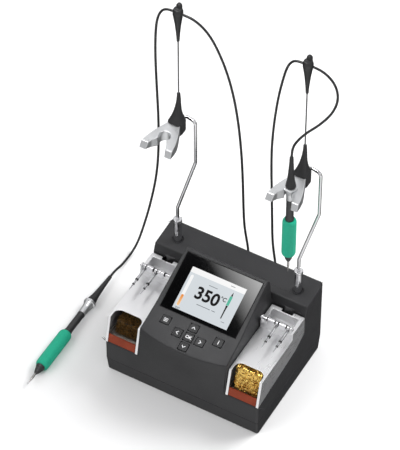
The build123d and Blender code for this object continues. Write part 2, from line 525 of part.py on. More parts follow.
# ---- tool handles, drawn upright with the rim's top face at the origin ----------------
def tool_boot():
    return turned([(6.0, 0), (4.6, 8), (3.2, 24), (2.2, BOOT_L)])


def tool_sleeve():
    sleeve = turned([(4.6, -SLEEVE_L), (4.6, -9.5), (6.2, -RIM_T), (RIM_R, -RIM_T), (RIM_R, 0)])
    return sleeve - Pos(0, 0, -SLEEVE_L / 2 - 1) * Cylinder(3.6, SLEEVE_L + 2 - 3)


def tool_barrel():
    grip_end = -SLEEVE_L - NECK_L - GRIP_L
    return turned([(1.7, grip_end - NOSE_L), (4.3, grip_end - 1), (BARREL_R, -SLEEVE_L), (3.6, -SLEEVE_L),
                   (3.6, -3.0)])


def tool_grip():
    top = -SLEEVE_L - NECK_L
    end = top - GRIP_L
    grip = turned([(5.4, end), (GRIP_R, end + 5), (GRIP_R, top - 3), (6.0, top)])
    return grip - Pos(0, 0, (top + end) / 2) * Cylinder(BARREL_R, GRIP_L + 2)


def tool_tip():
    top = -SLEEVE_L - NECK_L - GRIP_L - NOSE_L
    return turned([(0.25, top - TIP_L), (TIP_R, top - 7), (TIP_R, top)])


TOOL_PIECES = {"boot": tool_boot, "sleeve": tool_sleeve, "barrel": tool_barrel, "grip": tool_grip,
               "tip": tool_tip}
TOOL_PLACES = {
    "left": Location((BENCH_X, BENCH_RIM_Y, GRIP_R), (-90, 0, 0)),
    "right": Location((STAND_X, POST_Y + NEST_Y, FORK_TOP_Z + HANG_GAP + RIM_T))}


# ---- cords --------------------------------------------------------------------------
def cord(name):
    """Tube of straight runs joined by arcs, each as large as its two runs allow."""
    points = [Vector(*p) for p in CORD_ROUTES[name]]
    runs = [b - a for a, b in zip(points, points[1:])]
    radii = []
    for before, after in zip(runs, runs[1:]):
        half_turn = math.radians(before.get_angle(after)) / 2
        radii.append(0.45 * min(before.length, after.length) / math.tan(half_turn))
    path = FilletPolyline(*points, radius=radii)
    tube = sweep(Plane(origin=points[0], z_dir=runs[0]) * Circle(CORD_R), path=path)
    length = path.length
    print(name, "radii", [round(r, 1) for r in radii], "runs", [round(r.length, 1) for r in runs])
    ratio = tube.volume / (math.pi * CORD_R**2 * length)
    print(name, "length", round(length, 1), "volume ratio", round(ratio, 4),
          "lowest", round(tube.bounding_box().min.Z, 2))
    return tube


# ---- write every part ------------------------------------------------------------------
os.makedirs("parts", exist_ok=True)
save("upper_shell", upper_shell())
save("lower_tray", lower_tray())
save("rubber_feet", *rubber_feet())
save("case_screws", *case_screws())
save("display_glass", display_glass())
save("lcd_module", lcd_module())
save("circuit_boards", front_board(), main_board())
save("transformer", transformer())
save("rear_panel", rear_panel())
save("mains_inlet", mains_inlet())
save("switch_frame", switch_frame())
save("power_rocker", power_rocker())
save("earth_jack", earth_jack())
save("tool_sockets", tool_socket(-SOCKET_X), tool_socket(SOCKET_X))
save("cord_plugs", cord_plug(-SOCKET_X), cord_plug(SOCKET_X))
for label, (key_x, key_u) in KEYS.items():
    save(f"button_{label}", key(key_x, key_u))


def on_side(shape, sign):
    """The shape as drawn for the right side, or mirrored for the left."""
    return shape if sign > 0 else mirror(shape, about=Plane.YZ)


STAND_PIECES = {"stand_cover": stand_cover(), "stand_lip": stand_lip(), "stand_cup": stand_cup(),
                "spare_rack": spare_rack()}
for side, sign in SIDES.items():
    for name, shape in STAND_PIECES.items():
        save(f"{name}_{side}", on_side(shape, sign))
    save(f"spare_tips_{side}", *[on_side(tip, sign) for tip in spare_tips()])
    save("brass_wool_right" if sign > 0 else "wire_brush_left", on_side(cleaning_block(), sign))
    axis = Pos(sign * STAND_X, POST_Y, 0)
    save(f"post_{side}", axis * post())
    save(f"arm_rod_{side}", axis * arm_rod())
    save(f"holder_fork_{side}", axis * holder_fork())
    save(f"fork_boot_{side}", axis * fork_boot())
    save(f"guide_wire_{side}", axis * guide_wire())
    save(f"cord_clip_{side}", axis * cord_clip())
    for piece, make in TOOL_PIECES.items():
        save(f"tool_{piece}_{side}", TOOL_PLACES[side] * make())
for cord_name in CORD_ROUTES:
    save(cord_name, cord(cord_name))
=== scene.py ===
import json
import math

import bmesh
import bpy
import numpy as np
from mathutils import Matrix, Vector


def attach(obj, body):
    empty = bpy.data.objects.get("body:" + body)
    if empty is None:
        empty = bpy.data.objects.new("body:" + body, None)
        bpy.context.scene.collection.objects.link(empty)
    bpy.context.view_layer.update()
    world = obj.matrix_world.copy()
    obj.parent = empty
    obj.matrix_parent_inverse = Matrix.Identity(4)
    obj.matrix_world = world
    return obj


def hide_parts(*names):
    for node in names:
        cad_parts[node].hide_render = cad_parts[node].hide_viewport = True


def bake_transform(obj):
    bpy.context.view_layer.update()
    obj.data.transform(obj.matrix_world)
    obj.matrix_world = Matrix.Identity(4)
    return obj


# Looks of a two-tool soldering station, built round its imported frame.
# Metres, +Z up, the front faces -Y. The origin is the middle of the plane that its feet stand on.

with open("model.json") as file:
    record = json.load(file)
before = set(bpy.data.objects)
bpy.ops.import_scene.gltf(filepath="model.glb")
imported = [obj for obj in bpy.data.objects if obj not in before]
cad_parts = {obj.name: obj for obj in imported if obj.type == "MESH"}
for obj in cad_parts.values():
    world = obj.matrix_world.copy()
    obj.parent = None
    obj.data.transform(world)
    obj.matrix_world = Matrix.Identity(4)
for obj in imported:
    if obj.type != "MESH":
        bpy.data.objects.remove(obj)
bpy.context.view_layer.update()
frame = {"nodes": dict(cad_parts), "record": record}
nodes = frame["nodes"]
slot_of = {s["node"]: s["material_slot"] for s in frame["record"]["subparts"]}
body_of = {n: b for b, members in frame["record"]["behaviour"]["bodies"].items() for n in members}
random = np.random.default_rng(11)
MM = 0.001
SIDES = {"left": -1, "right": 1}


# ---- camera ---------------------------------------------------------------------------
CAMERA_PLACE = Vector((1.0585, -1.8963, 2.6840))
CAMERA_AIM = Vector((-0.0921, 0.1287, 0.0500))
LENS_MM, SENSOR_MM = 240, 36


def add_camera():
    data = bpy.data.cameras.new("camera")
    data.lens = LENS_MM
    data.sensor_width = SENSOR_MM
    data.clip_start = 0.05
    data.clip_end = 50
    camera = bpy.data.objects.new("camera", data)
    camera.location = CAMERA_PLACE
    camera.rotation_mode = "QUATERNION"
    camera.rotation_quaternion = (CAMERA_AIM - CAMERA_PLACE).to_track_quat("-Z", "Y")
    bpy.context.scene.collection.objects.link(camera)
    bpy.context.scene.camera = camera


# ---- shader groups and materials -----------------------------------------------------------
def new_group(name, inputs, outputs):
    """Empty shader group with named sockets. Returns the group, its input node and its output node."""
    group = bpy.data.node_groups.new(name, "ShaderNodeTree")
    for label, kind, value in inputs:
        socket = group.interface.new_socket(name=label, in_out="INPUT", socket_type=kind)
        if value is not None:
            socket.default_value = value
    for label, kind in outputs:
        group.interface.new_socket(name=label, in_out="OUTPUT", socket_type=kind)
    return group, group.nodes.new("NodeGroupInput"), group.nodes.new("NodeGroupOutput")


def noise(tree, vector, scale, detail):
    """Noise texture in tree whose scale is a number or a socket. Returns its value socket."""
    texture = tree.nodes.new("ShaderNodeTexNoise")
    texture.inputs["Detail"].default_value = detail
    tree.links.new(vector, texture.inputs["Vector"])
    if isinstance(scale, (int, float)):
        texture.inputs["Scale"].default_value = scale
    else:
        tree.links.new(scale, texture.inputs["Scale"])
    return texture.outputs["Fac"]


def remap(tree, value, low, high, to_low, to_high):
    """Linear map of value from low..high to to_low..to_high, where the last two are numbers or sockets."""
    node = tree.nodes.new("ShaderNodeMapRange")
    tree.links.new(value, node.inputs["Value"])
    for label, given in (("From Min", low), ("From Max", high), ("To Min", to_low), ("To Max", to_high)):
        if isinstance(given, (int, float)):
            node.inputs[label].default_value = given
        else:
            tree.links.new(given, node.inputs[label])
    return node.outputs["Result"]


def mix_colours(tree, share, first, second):
    """Colour between two colour sockets, by share."""
    node = tree.nodes.new("ShaderNodeMix")
    node.data_type = "RGBA"
    tree.links.new(share, node.inputs["Factor"])
    tree.links.new(first, node.inputs[6])
    tree.links.new(second, node.inputs[7])
    return node.outputs[2]


def build_surface_grain():
    """Fine grain in roughness and height, over a slow mottling of two colours."""
    group, start, end = new_group(
        "surface_grain",
        [("Vector", "NodeSocketVector", None), ("Colour", "NodeSocketColor", (0.5, 0.5, 0.5, 1)),
         ("Second Colour", "NodeSocketColor", (0.4, 0.4, 0.4, 1)), ("Grain Scale", "NodeSocketFloat", 1500.0),
         ("Mottle Scale", "NodeSocketFloat", 40.0), ("Roughness Low", "NodeSocketFloat", 0.4),
         ("Roughness High", "NodeSocketFloat", 0.6)],
        [("Colour", "NodeSocketColor"), ("Roughness", "NodeSocketFloat"), ("Height", "NodeSocketFloat")])
    link = group.links.new
    grain = noise(group, start.outputs["Vector"], start.outputs["Grain Scale"], 3)
    mottle = noise(group, start.outputs["Vector"], start.outputs["Mottle Scale"], 4)
    share = remap(group, mottle, 0.35, 0.65, 0.0, 1.0)
    link(mix_colours(group, share, start.outputs["Colour"], start.outputs["Second Colour"]), end.inputs["Colour"])
    blend = group.nodes.new("ShaderNodeMath")
    blend.operation = "MULTIPLY_ADD"
    link(grain, blend.inputs[0])
    blend.inputs[1].default_value = 0.6
    half = remap(group, mottle, 0.0, 1.0, 0.0, 0.4)
    link(half, blend.inputs[2])
    rough = remap(group, blend.outputs[0], 0.3, 0.7, start.outputs["Roughness Low"], start.outputs["Roughness High"])
    link(rough, end.inputs["Roughness"])
    link(grain, end.inputs["Height"])
    return group


def build_foam_cells():
    """Closed-cell foam: round cells in height, with their walls a little darker."""
    group, start, end = new_group(
        "foam_cells",
        [("Vector", "NodeSocketVector", None), ("Cell Scale", "NodeSocketFloat", 1400.0)],
        [("Wall", "NodeSocketFloat"), ("Height", "NodeSocketFloat")])
    cells = group.nodes.new("ShaderNodeTexVoronoi")
    group.links.new(start.outputs["Vector"], cells.inputs["Vector"])
    group.links.new(start.outputs["Cell Scale"], cells.inputs["Scale"])
    group.links.new(remap(group, cells.outputs["Distance"], 0.2, 0.8, 0.0, 1.0), end.inputs["Wall"])
    group.links.new(remap(group, cells.outputs["Distance"], 0.0, 0.8, 1.0, 0.0), end.inputs["Height"])
    return group


surface_grain = build_surface_grain()
foam_cells = build_foam_cells()


def blank_material(name):
    """Material with its node tree, its Principled shader and its Object coordinates."""
    material = bpy.data.materials.new(name)
    material.use_nodes = True
    tree = material.node_tree
    place = tree.nodes.new("ShaderNodeTexCoord")
    return material, tree, tree.nodes["Principled BSDF"], place.outputs["Object"]


def add_bump(tree, shader, height, depth, distance=0.0005):
    bump = tree.nodes.new("ShaderNodeBump")
    bump.inputs["Strength"].default_value = depth
    bump.inputs["Distance"].default_value = distance
    tree.links.new(height, bump.inputs["Height"])
    tree.links.new(bump.outputs["Normal"], shader.inputs["Normal"])


def finish(name, colour, second, roughness, grain=1500.0, mottle=40.0, bump=0.15, metallic=0.0, stretch=(1, 1, 1),
           **sockets):
    """Material with grain, mottling and, where stretched along an axis, a brushed or drawn direction."""
    material, tree, shader, place = blank_material(name)
    mapping = tree.nodes.new("ShaderNodeMapping")
    mapping.inputs["Scale"].default_value = stretch
    tree.links.new(place, mapping.inputs["Vector"])
    grained = tree.nodes.new("ShaderNodeGroup")
    grained.node_tree = surface_grain
    tree.links.new(mapping.outputs["Vector"], grained.inputs["Vector"])
    values = {"Colour": (*colour, 1), "Second Colour": (*second, 1), "Grain Scale": grain, "Mottle Scale": mottle,
              "Roughness Low": roughness[0], "Roughness High": roughness[1]}
    for label, value in values.items():
        grained.inputs[label].default_value = value
    tree.links.new(grained.outputs["Colour"], shader.inputs["Base Color"])
    tree.links.new(grained.outputs["Roughness"], shader.inputs["Roughness"])
    shader.inputs["Metallic"].default_value = metallic
    for label, value in sockets.items():
        shader.inputs[label.replace("_", " ")].default_value = value
    add_bump(tree, shader, grained.outputs["Height"], bump)
    return material


def foam_finish():
    """Green closed-cell foam."""
    material, tree, shader, place = blank_material("green_foam")
    cells = tree.nodes.new("ShaderNodeGroup")
    cells.node_tree = foam_cells
    tree.links.new(place, cells.inputs["Vector"])
    wall = tree.nodes.new("ShaderNodeMix")
    wall.data_type = "RGBA"
    wall.inputs[6].default_value = (0.010, 0.410, 0.255, 1)
    wall.inputs[7].default_value = (0.006, 0.330, 0.200, 1)
    tree.links.new(cells.outputs["Wall"], wall.inputs["Factor"])
    tree.links.new(wall.outputs[2], shader.inputs["Base Color"])
    shader.inputs["Roughness"].default_value = 0.75
    add_bump(tree, shader, cells.outputs["Height"], 0.35)
    return material


def lit_finish(name, colour, strength):
    """Part of the display's picture: it gives light of its own behind the glass's gloss."""
    material, tree, shader, place = blank_material(name)
    dots = noise(tree, place, 4000.0, 1)
    glow = tree.nodes.new("ShaderNodeMix")
    glow.data_type = "RGBA"
    glow.inputs[6].default_value = (*[c * 0.96 for c in colour], 1)
    glow.inputs[7].default_value = (*colour, 1)
    tree.links.new(dots, glow.inputs["Factor"])
    tree.links.new(glow.outputs[2], shader.inputs["Emission Color"])
    shader.inputs["Emission Strength"].default_value = strength
    shader.inputs["Base Color"].default_value = (0.01, 0.01, 0.01, 1)
    shader.inputs["Roughness"].default_value = 0.12
    shader.inputs["Specular IOR Level"].default_value = 0.12
    return material


def bar_finish(name, low_u, high_u, low_colour, high_colour):
    """Display colour that runs from one colour to another up the slope of the glass."""
    material, tree, shader, place = blank_material(name)
    apart = tree.nodes.new("ShaderNodeSeparateXYZ")
    tree.links.new(place, apart.inputs["Vector"])
    low_y, high_y = (glass_point(0, u, 0)[1] for u in (low_u, high_u))
    share = remap(tree, apart.outputs["Y"], float(low_y), float(high_y), 0.0, 1.0)
    blend = tree.nodes.new("ShaderNodeMix")
    blend.data_type = "RGBA"
    blend.inputs[6].default_value = (*low_colour, 1)
    blend.inputs[7].default_value = (*high_colour, 1)
    tree.links.new(share, blend.inputs["Factor"])
    tree.links.new(blend.outputs[2], shader.inputs["Emission Color"])
    shader.inputs["Emission Strength"].default_value = 0.95
    shader.inputs["Base Color"].default_value = (0.01, 0.01, 0.01, 1)
    shader.inputs["Roughness"].default_value = 0.12
    return material


KEY_SLOPE, KEY_PLACE = math.radians(17.2), Vector((0, -59.1, 96.9))
GLASS_SLOPE, GLASS_PLACE = math.radians(24.6), Vector((0, -7.2, 117.5))


def glass_point(x, u, depth):
    """Point on the display's slope: x across, u up the slope, depth along its normal, all in mm."""
    c, s = math.cos(GLASS_SLOPE), math.sin(GLASS_SLOPE)
    return np.array([x, GLASS_PLACE.y + u * c - depth * s, GLASS_PLACE.z + u * s + depth * c]) * MM


GLASS_FRAME = Matrix.Translation(GLASS_PLACE * MM) @ Matrix.Rotation(GLASS_SLOPE, 4, "X")
KEY_FRAME = Matrix.Translation(KEY_PLACE * MM) @ Matrix.Rotation(KEY_SLOPE, 4, "X")

materials = {
    "housing": finish("housing", (0.029, 0.029, 0.0305), (0.025, 0.025, 0.0265), (0.40, 0.54), 1100.0, 25.0, 0.10,
                      Specular_IOR_Level=0.36),
    "key_cap": finish("key_cap", (0.017, 0.017, 0.018), (0.014, 0.014, 0.015), (0.38, 0.50), 2200.0, 60.0, 0.08,
                      Specular_IOR_Level=0.34),
    "display_glass": finish("display_glass", (0.003, 0.003, 0.0035), (0.002, 0.002, 0.0022), (0.04, 0.09), 300.0,
                            18.0, 0.004, Coat_Weight=0.6, Coat_Roughness=0.03),
    "lcd_panel": finish("lcd_panel", (0.55, 0.58, 0.60), (0.48, 0.50, 0.53), (0.25, 0.35), 900.0, 40.0, 0.03),
    "circuit_board": finish("circuit_board", (0.010, 0.110, 0.040), (0.016, 0.150, 0.055), (0.25, 0.40), 700.0, 160.0,
                            0.10),
    "transformer_core": finish("transformer_core", (0.060, 0.050, 0.040), (0.035, 0.028, 0.020), (0.45, 0.70), 300.0,
                               60.0, 0.30, metallic=0.4, stretch=(1, 9, 1)),
    "black_plastic": finish("black_plastic", (0.016, 0.016, 0.017), (0.012, 0.012, 0.013), (0.35, 0.50), 1600.0, 50.0,
                            0.10),
    "black_rubber": finish("black_rubber", (0.019, 0.019, 0.020), (0.014, 0.014, 0.015), (0.48, 0.66), 900.0, 60.0,
                           0.18),
    "steel_hardware": finish("steel_hardware", (0.48, 0.48, 0.50), (0.38, 0.38, 0.40), (0.22, 0.38), 1200.0, 90.0,
                             0.08, metallic=1.0),
    "brass_plated": finish("brass_plated", (0.78, 0.60, 0.28), (0.66, 0.48, 0.20), (0.18, 0.32), 1200.0, 90.0, 0.06,
                           metallic=1.0),
    "polished_steel": finish("polished_steel", (0.80, 0.80, 0.81), (0.72, 0.72, 0.74), (0.08, 0.16), 900.0, 60.0,
                             0.03, metallic=1.0, stretch=(1, 1, 0.2)),
    "spring_wire": finish("spring_wire", (0.17, 0.17, 0.175), (0.11, 0.11, 0.115), (0.30, 0.45), 900.0, 120.0, 0.05,
                          metallic=0.7, stretch=(1, 1, 0.1)),
    "cast_silver": finish("cast_silver", (0.78, 0.79, 0.80), (0.70, 0.71, 0.72), (0.26, 0.34), 1300.0, 30.0, 0.02,
                          metallic=0.9),
    "stand_sheet": finish("stand_sheet", (0.90, 0.90, 0.91), (0.84, 0.84, 0.85), (0.26, 0.32), 900.0, 14.0, 0.006,
                          metallic=0.85, stretch=(1, 0.06, 1)),
    # The cup sheet is darker and browner than the stand sheet: painted shade inside the tubs and painted reflection of
    # the brass wool and bronze brush.
    "cup_sheet": finish("cup_sheet", (0.36, 0.34, 0.32), (0.26, 0.23, 0.20), (0.30, 0.48), 900.0, 60.0, 0.06,
                        metallic=0.9, stretch=(1, 0.1, 1)),
    "lip_silicone": finish("lip_silicone", (0.250, 0.042, 0.016), (0.205, 0.034, 0.013), (0.50, 0.64), 900.0, 60.0,
                           0.12, Specular_IOR_Level=0.2),
    "brass_wool": finish("brass_wool", (0.98, 0.68, 0.20), (0.72, 0.42, 0.08), (0.14, 0.28), 500.0, 260.0, 0.06,
                         metallic=0.9),
    "bronze_brush": finish("bronze_brush", (0.46, 0.27, 0.09), (0.07, 0.038, 0.012), (0.30, 0.50), 900.0, 420.0,
                           0.10, metallic=0.6),
    "spare_tip": finish("spare_tip", (0.82, 0.82, 0.83), (0.74, 0.74, 0.76), (0.10, 0.20), 900.0, 60.0, 0.03,
                        metallic=1.0, stretch=(1, 0.2, 1)),
    "tool_barrel": finish("tool_barrel", (0.028, 0.028, 0.029), (0.021, 0.021, 0.022), (0.32, 0.46), 1500.0, 60.0,
                          0.08),
    "green_foam": foam_finish(),
    "heater_tip": finish("heater_tip", (0.62, 0.61, 0.60), (0.48, 0.46, 0.44), (0.16, 0.30), 1500.0, 120.0, 0.05,
                         metallic=1.0),
    "cord_jacket": finish("cord_jacket", (0.015, 0.015, 0.016), (0.011, 0.011, 0.012), (0.38, 0.52), 1200.0, 60.0,
                          0.08),
}
picture = {
    "white": lit_finish("picture_white", (0.98, 0.98, 0.98), 0.95),
    "field": lit_finish("picture_field", (0.70, 0.745, 0.78), 0.95),
    "black": lit_finish("picture_black", (0.002, 0.002, 0.002), 0.2),
    "grey": lit_finish("picture_grey", (0.20, 0.22, 0.24), 0.9),
    "green": lit_finish("picture_green", (0.10, 0.52, 0.36), 0.9),
    "orange": bar_finish("picture_orange", -27.5, -13.0, (0.98, 0.66, 0.34), (0.82, 0.26, 0.03)),
}
wool_shade = finish("wool_shade", (0.060, 0.036, 0.010), (0.020, 0.012, 0.005), (0.5, 0.7), 700.0, 300.0, 0.30)
symbol_ink = finish("symbol_ink", (0.86, 0.86, 0.87), (0.80, 0.80, 0.81), (0.45, 0.60), 1500.0, 80.0, 0.04)


# ---- mesh helpers --------------------------------------------------------------------------
def add_piece(name, mesh, material, body, replaced=()):
    """Object at the origin that rides on a body and the nodes that it stands for."""
    piece = bpy.data.objects.new(name, mesh)
    bpy.context.scene.collection.objects.link(piece)
    for one in material if isinstance(material, (list, tuple)) else [material]:
        mesh.materials.append(one)
    if body:
        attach(piece, body)
    if replaced:
        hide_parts(*replaced)
    return piece


def clean_mesh(name, points, faces, angle=40, recalculate=True):
    """Mesh in which coincident points are merged, faces point outwards and edges over angle stay sharp."""
    raw = bpy.data.meshes.new(name)
    raw.from_pydata(np.asarray(points).reshape(-1, 3).tolist(), [], [list(f) for f in faces])
    shape = bmesh.new()
    shape.from_mesh(raw)
    bmesh.ops.remove_doubles(shape, verts=shape.verts, dist=1e-7)
    bmesh.ops.dissolve_degenerate(shape, edges=shape.edges, dist=1e-7)
    if recalculate:
        bmesh.ops.recalc_face_normals(shape, faces=shape.faces)
    shape.to_mesh(raw)
    shape.free()
    shade(raw, angle)
    return raw


def shade(mesh, angle):
    """Smooth shading with a sharp edge wherever two faces meet at more than angle degrees."""
    mesh.polygons.foreach_set("use_smooth", np.ones(len(mesh.polygons), bool))
    mesh.set_sharp_from_angle(angle=math.radians(angle))
    mesh.update()


def grid_faces(rows, columns, wrap):
    """Quads between neighbours of a rows x columns grid, whose columns may wrap round."""
    r = np.arange(rows - 1)[:, None]
    c = np.arange(columns if wrap else columns - 1)[None, :]
    n = (c + 1) % columns
    quads = np.stack([r * columns + c, r * columns + n, (r + 1) * columns + n, (r + 1) * columns + c], axis=-1)
    return quads.reshape(-1, 4)


def softened(outline, radius, steps=5):
    """Outline of 2-D points with each inner corner as a quadratic curve that starts radius before it."""
    points = np.asarray(outline, float)
    a, b, c = points[:-2], points[1:-1], points[2:]
    before, after = a - b, c - b
    reach_before = np.minimum(radius, 0.45 * np.linalg.norm(before, axis=1))[:, None]
    reach_after = np.minimum(radius, 0.45 * np.linalg.norm(after, axis=1))[:, None]
    first = b + before / np.linalg.norm(before, axis=1)[:, None] * reach_before
    last = b + after / np.linalg.norm(after, axis=1)[:, None] * reach_after
    t = np.linspace(0, 1, steps)[None, :, None]
    curve = (1 - t) ** 2 * first[:, None] + 2 * t * (1 - t) * b[:, None] + t**2 * last[:, None]
    return np.vstack([points[:1], curve.reshape(-1, 2), points[-1:]])


def lathe(name, outline, place, turns=48, radius=0.4, angle=35):
    """Surface of revolution: x = r cos t, y = r sin t, z = z, for softened (r, z) points in mm, put at place."""
    profile = softened(outline, radius)
    t = np.linspace(0, 2 * np.pi, turns, endpoint=False)
    r, z = profile[:, 0][:, None], profile[:, 1][:, None]
    points = np.stack([r * np.cos(t), r * np.sin(t), z + 0 * t], axis=-1) * MM
    turn = np.array(place)
    points = points.reshape(-1, 3) @ turn[:3, :3].T + turn[:3, 3]
    return clean_mesh(name, points, grid_faces(len(profile), turns, True), angle)


def rounded_copy(node, width, segments=3, angle=32, broad=None, broad_width=0.0):
    """A node's mesh, merged, with its sharp edges rounded by width in mm and its flat faces shaded flat.

    broad takes the edges' midpoints in mm and says which of them get broad_width instead."""
    shape = bmesh.new()
    shape.from_mesh(nodes[node].data)
    bmesh.ops.remove_doubles(shape, verts=shape.verts, dist=2e-6)
    mesh = bpy.data.meshes.new(node + "_shown")
    shape.to_mesh(mesh)
    shape.free()
    piece = bpy.data.objects.new(node + "_shown", mesh)
    bpy.context.scene.collection.objects.link(piece)
    shade(mesh, 42)
    if width:
        bevel = piece.modifiers.new("rounded_edges", "BEVEL")
        bevel.width = (broad_width if broad else width) * MM
        bevel.segments = segments
        bevel.use_clamp_overlap = False
        bevel.angle_limit = math.radians(angle)
        if broad:
            bevel.limit_method = "WEIGHT"
            weigh_edges(mesh, broad, width / broad_width, angle)
    weighted = piece.modifiers.new("flat_faces", "WEIGHTED_NORMAL")
    weighted.keep_sharp = True
    weighted.weight = 90
    bpy.context.view_layer.update()
    graph = bpy.context.evaluated_depsgraph_get()
    mesh = bpy.data.meshes.new_from_object(piece.evaluated_get(graph))
    piece.modifiers.clear()
    piece.data = mesh
    mesh.materials.clear()
    mesh.materials.append(materials[slot_of[node]])
    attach(piece, body_of[node])
    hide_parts(node)
    return piece


def cast_copy(node, grid, rounds):
    """A node's mesh as a casting: rebuilt on a grid of cells, in mm, whose corners are averaged rounds times."""
    shape = bmesh.new()
    shape.from_mesh(nodes[node].data)
    bmesh.ops.remove_doubles(shape, verts=shape.verts, dist=2e-6)
    mesh = bpy.data.meshes.new(node + "_shown")
    shape.to_mesh(mesh)
    shape.free()
    piece = bpy.data.objects.new(node + "_shown", mesh)
    bpy.context.scene.collection.objects.link(piece)
    rebuilt = piece.modifiers.new("grid", "REMESH")
    rebuilt.mode = "VOXEL"
    rebuilt.voxel_size = grid * MM
    rebuilt.use_smooth_shade = True
    softer = piece.modifiers.new("softer", "SMOOTH")
    softer.factor = 0.5
    softer.iterations = rounds
    bpy.context.view_layer.update()
    graph = bpy.context.evaluated_depsgraph_get()
    mesh = bpy.data.meshes.new_from_object(piece.evaluated_get(graph))
    piece.modifiers.clear()
    piece.data = mesh
    mesh.materials.clear()
    mesh.materials.append(materials[slot_of[node]])
    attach(piece, body_of[node])
    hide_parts(node)
    return piece


def weigh_edges(mesh, broad, share, angle):
    """Bevel weights: 1 on sharp edges whose midpoint is broad, share on the other sharp ones, 0 on the rest."""
    shape = bmesh.new()
    shape.from_mesh(mesh)
    sharp = np.array([e.calc_face_angle(0.0) > math.radians(angle) for e in shape.edges])
    ends = np.array([[list(v.co) for v in e.verts] for e in shape.edges]) / MM
    shape.free()
    weights = np.where(sharp, np.where(broad(ends.mean(axis=1)), 1.0, share), 0.0)
    layer = mesh.attributes.new("bevel_weight_edge", "FLOAT", "EDGE")
    layer.data.foreach_set("value", weights.astype(np.float32))


def plates(name, shapes, place, depth, thickness, material, body):
    """Thin closed plates on a slope, from outlines of (x, u) points in mm, as one piece."""
    points, faces = [], []
    for outline in shapes:
        flat = np.asarray(outline, float)
        count, first = len(flat), sum(len(p) for p in points)
        low = np.column_stack([flat, np.full(count, depth)])
        high = np.column_stack([flat, np.full(count, depth + thickness)])
        points.append(np.vstack([low, high]))
        ring = np.arange(count)
        after = (ring + 1) % count
        walls = np.stack([ring, after, after + count, ring + count], axis=1) + first
        faces += [list(first + ring[::-1]), list(first + count + ring)] + walls.tolist()
    turn = np.array(place)
    placed = np.vstack(points) * MM @ turn[:3, :3].T + turn[:3, 3]
    mesh = bpy.data.meshes.new(name)
    mesh.from_pydata(placed.tolist(), [], faces)
    return add_piece(name, mesh, material, body)


def rectangle(x0, x1, u0, u1, radius=0.0, steps=5):
    """Rectangle of (x, u) points whose corners are quarter circles."""
    if not radius:
        return np.array([(x0, u0), (x1, u0), (x1, u1), (x0, u1)])
    t = np.linspace(0, np.pi / 2, steps)
    corners = [(x1 - radius, u1 - radius, 0), (x0 + radius, u1 - radius, 1), (x0 + radius, u0 + radius, 2),
               (x1 - radius, u0 + radius, 3)]
    return np.vstack([np.column_stack([cx + radius * np.cos(t + q * np.pi / 2),
                                       cu + radius * np.sin(t + q * np.pi / 2)])
                      for cx, cu, q in corners])


def stroke(points, width):
    """Outline of a line of the given width along (x, u) points, with mitred corners."""
    p = np.asarray(points, float)
    way = np.diff(p, axis=0)
    way /= np.linalg.norm(way, axis=1)[:, None]
    across = np.column_stack([-way[:, 1], way[:, 0]])
    normal = np.vstack([across[:1], across[:-1] + across[1:], across[-1:]])
    square = (normal**2).sum(axis=1)[:, None]
    reach = normal * width / np.where(square > 1.5, square, 1.0 + (square - 1.0))
    reach[0], reach[-1] = across[0] * width / 2, across[-1] * width / 2
    return np.vstack([p + reach, (p - reach)[::-1]])


def words(name, text, height, x, u, place, depth, material, body, bold=0.0, align="CENTER"):
    """Generic characters as a thin mesh on a slope, height in mm."""
    curve = bpy.data.curves.new(name, "FONT")
    curve.body = text
    curve.size = height * MM
    curve.align_x = align
    curve.align_y = "CENTER"
    curve.offset = bold * MM
    curve.extrude = 0.01 * MM
    holder = bpy.data.objects.new(name, curve)
    bpy.context.scene.collection.objects.link(holder)
    bpy.context.view_layer.update()
    mesh = bpy.data.meshes.new_from_object(holder.evaluated_get(bpy.context.evaluated_depsgraph_get()))
    bpy.data.objects.remove(holder)
    mesh.transform(place @ Matrix.Translation(Vector((x, u, depth)) * MM))
    mesh.materials.clear()
    mesh.name = name
    return add_piece(name, mesh, material, body)


# ---- cords: the same routes as the frame's tubes, in metres ------------------------------------
CORD_D = 0.0028
CORD_ROUTES = {
    "cord_rear_left": [
        (-.018, .0972, .046), (-.018, .1055, .046), (-.0182, .112, .0515), (-.0188, .113, .063),
        (-.0198, .1105, .082), (-.02, .1045, .112), (-.0175, .097, .152), (-.0145, .089, .208),
        (-.012, .080, .264), (-.0125, .0725, .320), (-.0165, .0675, .366), (-.024, .0638, .404),
        (-.034, .0608, .434), (-.042, .0594, .449), (-.0505, .058, .459), (-.060, .0568, .465),
        (-.0665, .0565, .466), (-.0719, .0565, .466)],
    "cord_rear_right": [
        (.018, .0972, .046), (.018, .1055, .046), (.0176, .112, .0515), (.0166, .113, .063),
        (.0155, .1105, .082), (.0165, .1045, .112), (.0195, .097, .152), (.022, .0895, .208),
        (.0245, .082, .260), (.028, .0755, .305), (.0335, .070, .352), (.040, .0655, .395),
        (.047, .0618, .428), (.0518, .0596, .447), (.0574, .0578, .4593), (.0645, .0565, .466),
        (.0719, .0565, .466)],
    "cord_tool_left": [
        (-.0837, .0565, .466), (-.091, .0565, .466), (-.0986, .0573, .459), (-.1045, .0586, .444),
        (-.1078, .060, .420), (-.110, .0625, .380), (-.111, .0665, .326), (-.113, .0725, .272),
        (-.1175, .0795, .214), (-.126, .0885, .158), (-.138, .097, .104), (-.1485, .103, .062),
        (-.1555, .104, .033), (-.159, .100, .0145), (-.161, .0905, .0042), (-.1618, .078, .0018),
        (-.162, .064, .0024), (-.162, .0505, .0079), (-.162, .0395, .0079)],
    "cord_tool_right": [
        (.0837, .0565, .466), (.0914, .0565, .466), (.103, .0562, .4615), (.1128, .0548, .4515),
        (.117, .0515, .437), (.1135, .046, .421), (.1035, .0375, .4065), (.0915, .030, .3945),
        (.0822, .0266, .3795), (.0778, .026, .366), (.0778, .026, .35465)]}


